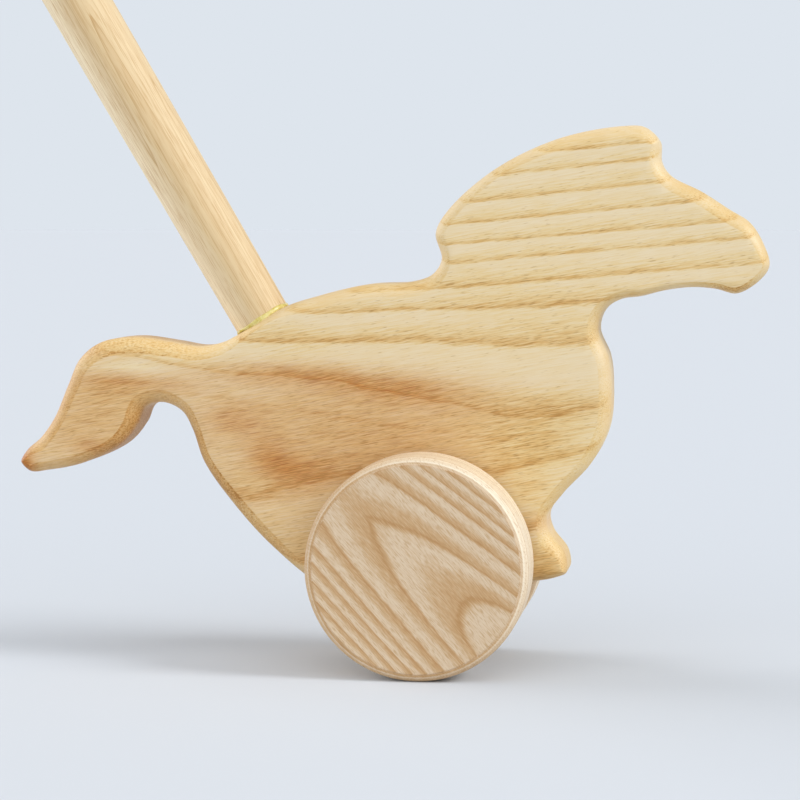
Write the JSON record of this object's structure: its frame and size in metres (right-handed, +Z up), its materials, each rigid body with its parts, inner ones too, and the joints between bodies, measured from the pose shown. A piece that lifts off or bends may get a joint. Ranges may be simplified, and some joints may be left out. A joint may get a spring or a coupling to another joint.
{
  "type": "push-along horse",
  "caption": "Wooden push-along toy horse: a flat sawn horse on a turning wheel set, with a long slanting stick glued into its back and a round hand knob.",
  "frame": {"origin": "on the floor under the middle of the toy's length, in the board's middle plane", "axes": "+X forward to the horse's head, +Y to the horse's left along the axle, +Z up"},
  "size_m": [0.4177, 0.0712, 0.5233],
  "materials": {
    "oiled_ash": "satin oil",
    "birch": "bare, sanded",
    "bare_ash": "bare, sanded",
    "beech": "bare",
    "wood_glue": "glossy",
    "fibre": "matte"
  },
  "bodies": {
    "horse": {"horse_body": "oiled_ash", "push_stick": "birch", "stick_glue_bead": "wood_glue", "hand_knob": "birch"},
    "wheel_set": {"axle": "beech", "wheel_right": "bare_ash", "wheel_left": "bare_ash", "spacer_right": "fibre", "spacer_left": "fibre"}
  },
  "joints": [
    {"name": "wheel_spin", "type": "hinge", "parent": "horse", "child": "wheel_set", "pos_m": [0.09637, 0, 0.03675], "axis": [0, 1, 0], "continuous": true}
  ]
}
